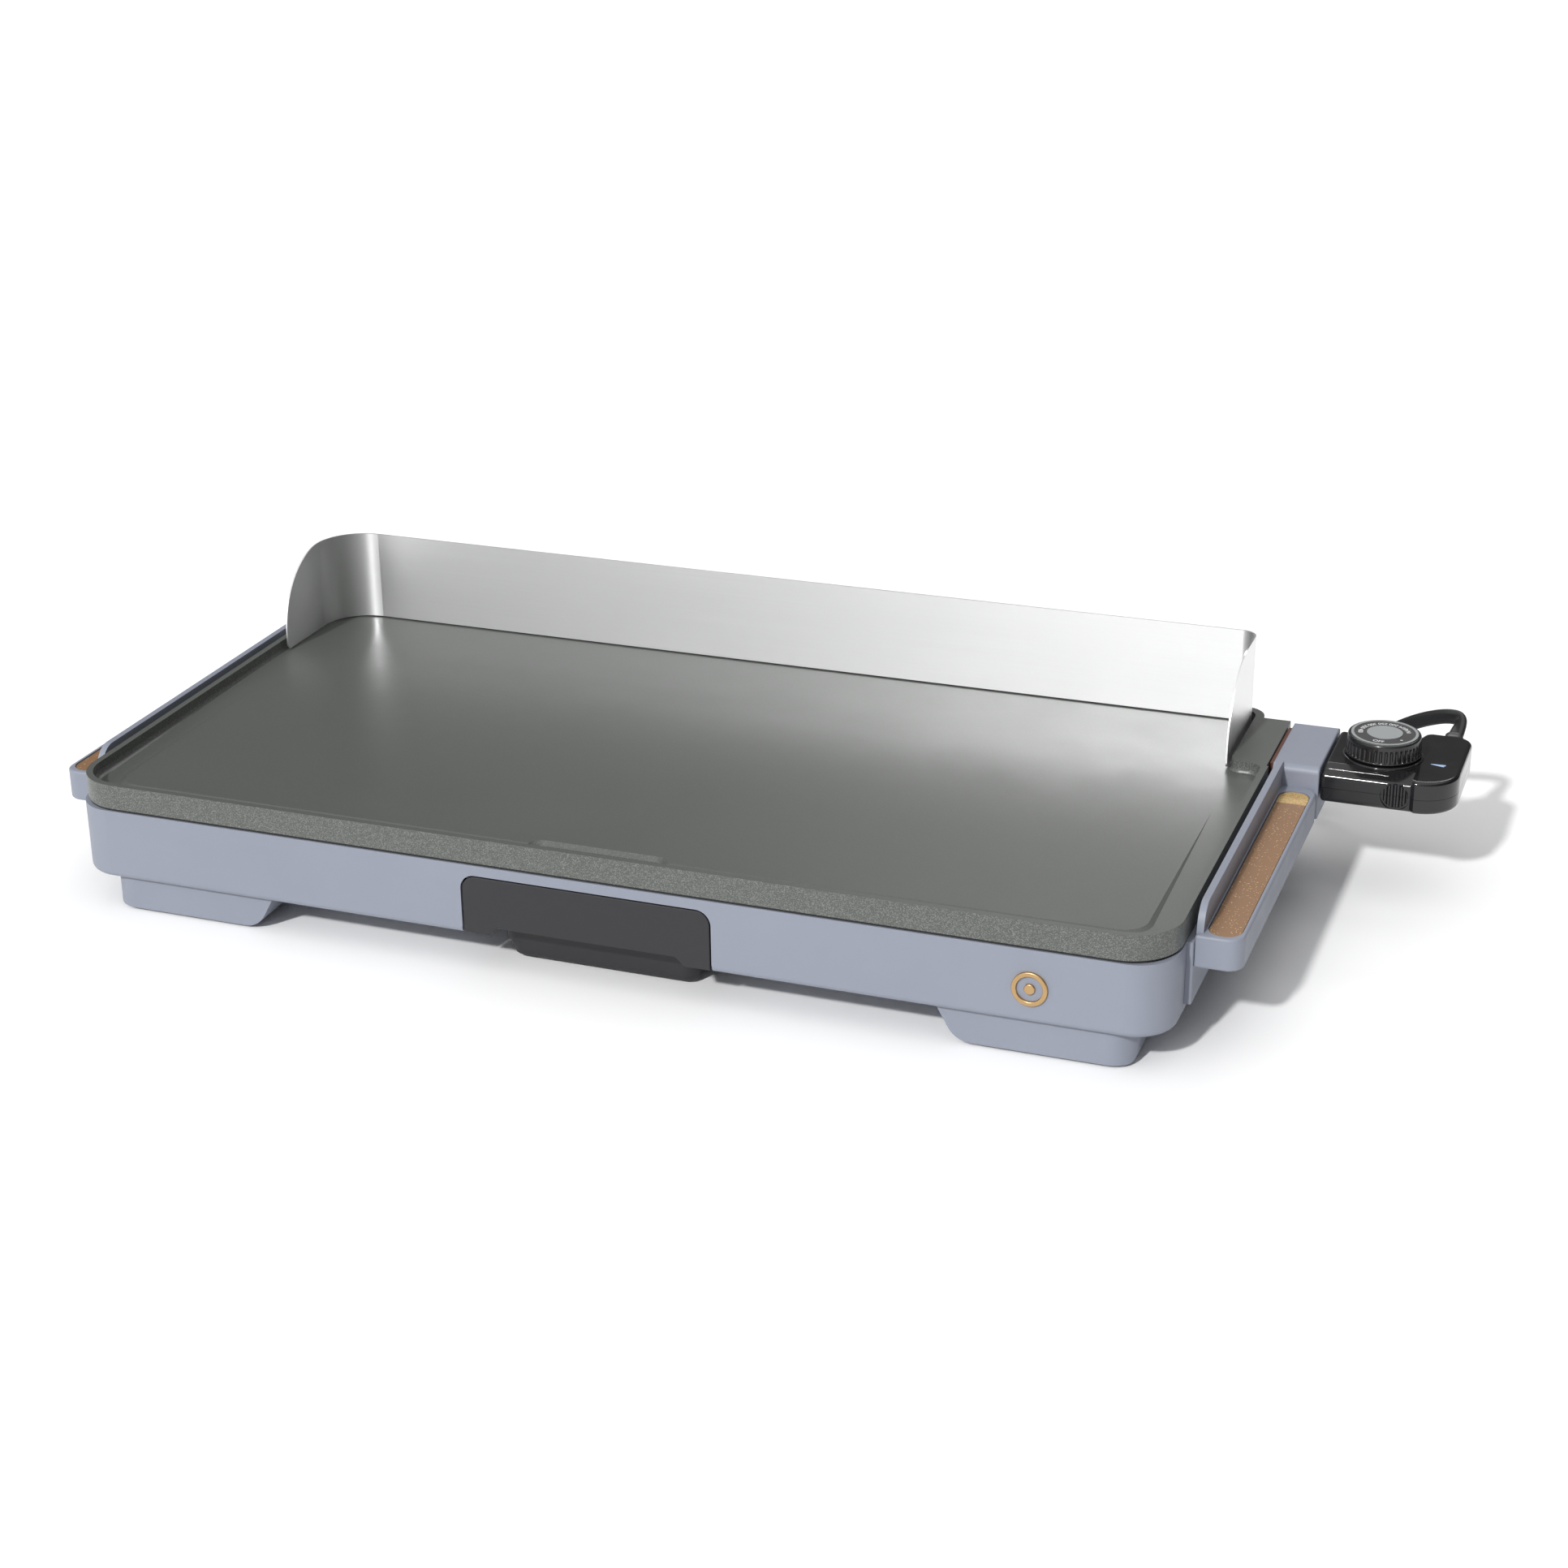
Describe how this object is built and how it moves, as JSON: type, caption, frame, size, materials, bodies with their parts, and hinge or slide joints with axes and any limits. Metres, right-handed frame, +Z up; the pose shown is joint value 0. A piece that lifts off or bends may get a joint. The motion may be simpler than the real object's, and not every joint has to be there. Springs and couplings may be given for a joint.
{
  "type": "electric griddle",
  "caption": "Long electric griddle with a rimmed non-stick plate, steel splash guard, side grips, front drip tray and a plug-in temperature probe with a dial.",
  "frame": {"origin": "on the worktop, below the middle of the object's footprint without its lead", "axes": "+X to the probe's side, +Y to the back, +Z up"},
  "size_m": [0.6882, 0.4002, 0.1158],
  "materials": {
    "plate_coating": "satin non-stick coating on cast aluminium",
    "body_plastic": "matte moulded plastic",
    "bronze_inlay": "satin metallic",
    "gold_trim": "polished",
    "brushed_steel": "brushed",
    "steel": "plain steel",
    "reflector": "bright sheet",
    "tray_plastic": "fine matte",
    "rubber": "matte",
    "insulator": "matte phenolic",
    "phenolic": "matte phenolic",
    "brass": "plain",
    "probe_plastic": "gloss",
    "lamp_glass": "clear tinted",
    "knob_plastic": "semi-gloss",
    "silver_trim": "satin",
    "dial_face": "satin",
    "cord_jacket": "satin rubber",
    "tie_band": "woven"
  },
  "bodies": {
    "root": {"base_housing": "body_plastic", "griddle_plate": "plate_coating", "heating_element": "steel", "terminal_pins": "steel", "terminal_insulator": "insulator", "plate_screws": "steel", "plate_standoffs": "phenolic", "plate_seal": "rubber", "rubber_pads": "rubber", "foot_screws": "steel", "front_badge": "gold_trim", "heat_reflector": "reflector", "left_handle": "body_plastic", "right_handle": "body_plastic", "left_handle_inlay": "bronze_inlay", "right_handle_inlay": "bronze_inlay", "handle_screws": "steel", "front_left_foot": "body_plastic", "front_right_foot": "body_plastic", "rear_left_foot": "body_plastic", "rear_right_foot": "body_plastic", "tray_rail_left": "steel", "tray_rail_right": "steel"},
    "splash_guard": {"splash_guard": "brushed_steel"},
    "drip_tray": {"tray_front": "tray_plastic", "tray_pan": "tray_plastic"},
    "probe": {"probe_upper_shell": "probe_plastic", "probe_lower_shell": "probe_plastic", "probe_nose": "phenolic", "socket_contacts": "brass", "sensor_stem": "steel", "thermostat_frame": "phenolic", "thermostat_blades": "brass", "indicator_lamp": "lamp_glass", "indicator_lens": "lamp_glass", "shell_screws": "steel", "strain_relief": "cord_jacket", "power_cord": "cord_jacket", "power_cord_end": "cord_jacket", "cord_coil": "cord_jacket", "coil_tie": "tie_band", "plug_body": "cord_jacket", "plug_prongs": "brass"},
    "knob": {"control_knob": "knob_plastic", "knob_trim_ring": "silver_trim", "knob_dial": "dial_face", "knob_cap": "silver_trim", "knob_shaft": "steel"}
  },
  "joints": [
    {"name": "guard_lift", "type": "slide", "parent": "root", "child": "splash_guard", "axis": [0, 0, 1], "range_m": [0, 0.06]},
    {"name": "tray_slide", "type": "slide", "parent": "root", "child": "drip_tray", "axis": [0, -1, 0], "range_m": [0, 0.09]},
    {"name": "probe_pull", "type": "slide", "parent": "root", "child": "probe", "axis": [1, 0, 0], "range_m": [0, 0.09]},
    {"name": "knob_turn", "type": "hinge", "parent": "probe", "child": "knob", "pos_m": [0.3034, 0.1012, 0.078], "axis": [0, 0, -1], "range_deg": [0, 300]}
  ]
}
